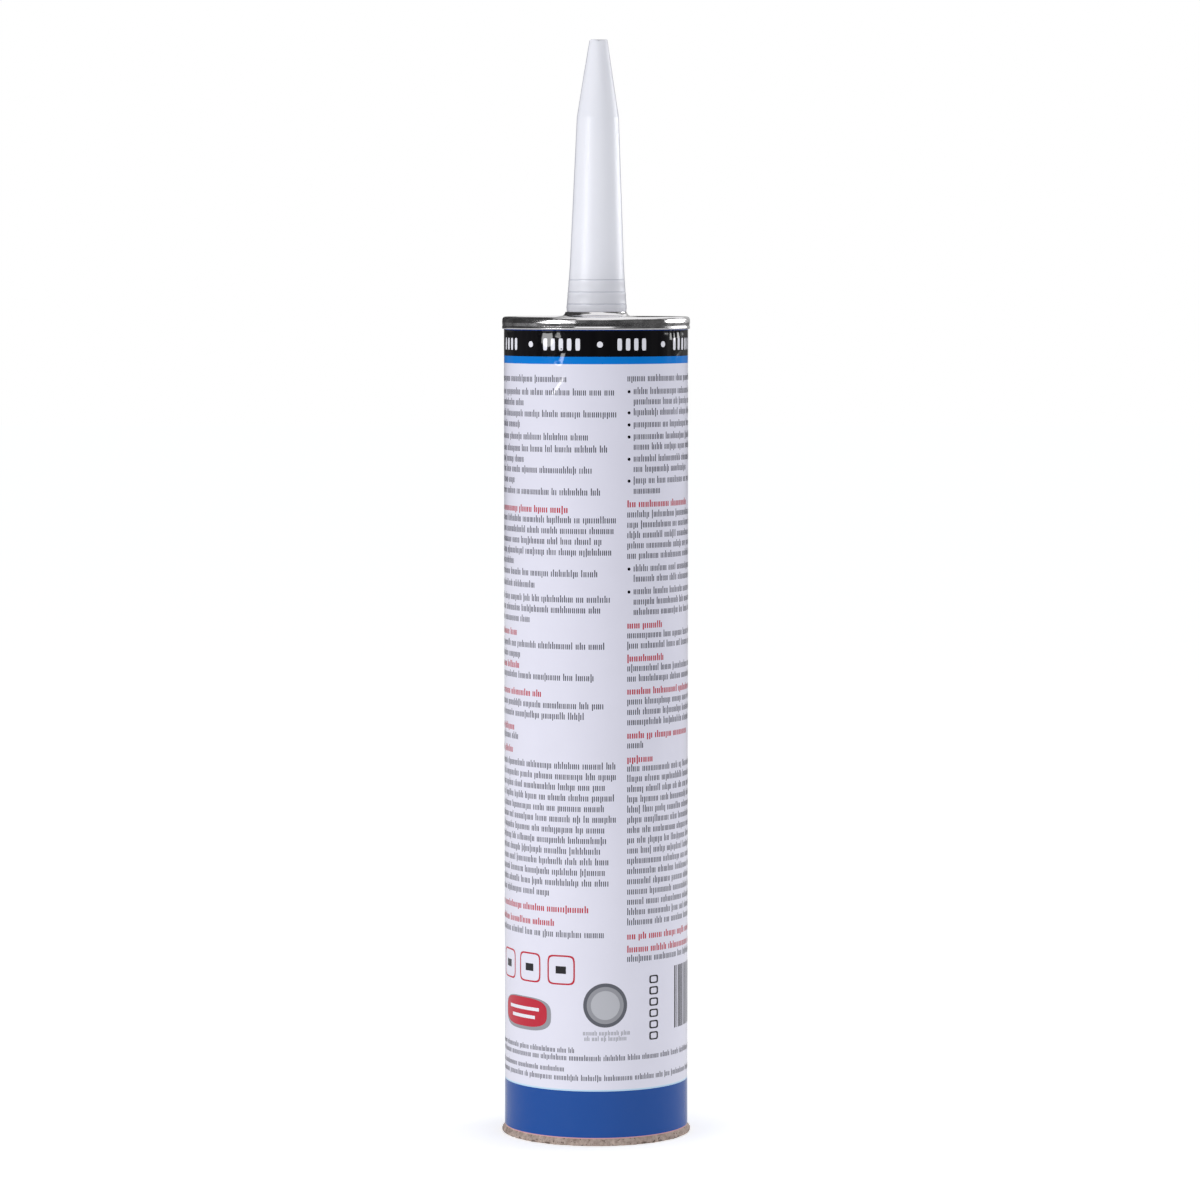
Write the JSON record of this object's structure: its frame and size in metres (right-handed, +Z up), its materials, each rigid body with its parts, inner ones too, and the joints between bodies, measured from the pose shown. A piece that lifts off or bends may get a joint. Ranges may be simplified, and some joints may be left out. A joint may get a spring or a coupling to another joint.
{
  "type": "caulk tube",
  "caption": "Sealant cartridge for a caulking gun: labelled fibreboard tube, seamed metal end, closed tapered nozzle and a plunger that slides up the bore.",
  "frame": {"origin": "middle of the foot, on the surface that the tube stands on", "axes": "+Z up the tube to the nozzle's tip, -Y towards the front of the label, +X to the right seen from the front"},
  "size_m": [0.0514, 0.0514, 0.2957],
  "materials": {
    "kraft_board": "matte",
    "label_paper": "satin",
    "tinplate": "glossy",
    "nozzle_plastic": "satin",
    "seal_foil": "satin",
    "sealant": "satin",
    "plunger_plastic": "matte"
  },
  "bodies": {
    "cartridge": {"fibre_tube": "kraft_board", "label_wrap": "label_paper", "metal_end": "tinplate", "nozzle": "nozzle_plastic", "inner_seal": "seal_foil", "sealant": "sealant"},
    "piston": {"plunger": "plunger_plastic"}
  },
  "joints": [
    {"name": "plunger_slide", "type": "slide", "parent": "cartridge", "child": "piston", "axis": [0, 0, 1], "range_m": [0, 0.178], "deforming": ["sealant"]}
  ]
}
